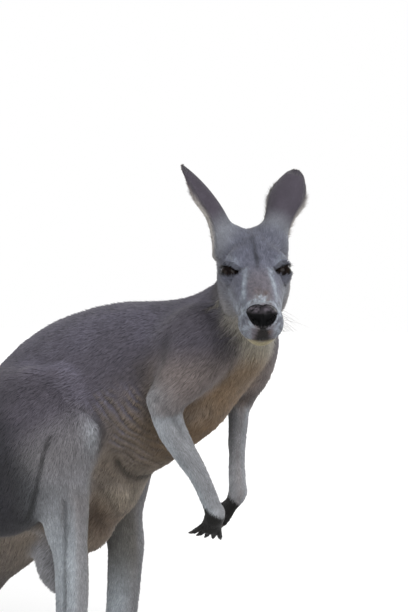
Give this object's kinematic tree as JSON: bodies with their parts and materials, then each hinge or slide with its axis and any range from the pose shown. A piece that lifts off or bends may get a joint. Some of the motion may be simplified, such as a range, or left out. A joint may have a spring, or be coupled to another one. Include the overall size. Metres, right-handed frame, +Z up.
{
  "type": "kangaroo",
  "caption": "Life-size female red kangaroo standing on its long hind feet and tail, leaning forward with its hands hanging and its head turned to its right",
  "frame": {"origin": "middle of the bounding box's underside, on the floor that the feet and the tail rest on", "axes": "+X is the way the trunk and the feet face, tail behind; +Y is the animal's left; +Z is up"},
  "size_m": [1.2854, 0.334, 0.8336],
  "materials": {
    "coat": "short dense grey-brown fur, paler on the throat, belly and shanks and black on the hands and toes",
    "nose": "bare black skin, moist",
    "claw": "dark horn, half gloss",
    "eye": "wet dark brown eye, high gloss"
  },
  "bodies": {
    "root": {"head": "coat", "nose": "nose", "eye_left": "eye", "ear_left": "coat", "eye_right": "eye", "ear_right": "coat", "neck": "coat", "chest": "coat", "loins": "coat", "rump": "coat", "pouch": "coat", "tail_base": "coat", "tail_middle": "coat", "tail_tip": "coat", "upper_arm_left": "coat", "forearm_left": "coat", "hand_left": "coat", "hand_claw_left_1": "claw", "hand_claw_left_2": "claw", "hand_claw_left_3": "claw", "hand_claw_left_4": "claw", "hand_claw_left_5": "claw", "upper_arm_right": "coat", "forearm_right": "coat", "hand_right": "coat", "hand_claw_right_1": "claw", "hand_claw_right_2": "claw", "hand_claw_right_3": "claw", "hand_claw_right_4": "claw", "hand_claw_right_5": "claw", "thigh_left": "coat", "shank_left": "coat", "foot_left": "coat", "foot_claw_left_big": "claw", "foot_claw_left_outer": "claw", "foot_claw_left_inner": "claw", "foot_claw_left_second": "claw", "thigh_right": "coat", "shank_right": "coat", "foot_right": "coat", "foot_claw_right_big": "claw", "foot_claw_right_outer": "claw", "foot_claw_right_inner": "claw", "foot_claw_right_second": "claw"}
  },
  "joints": []
}
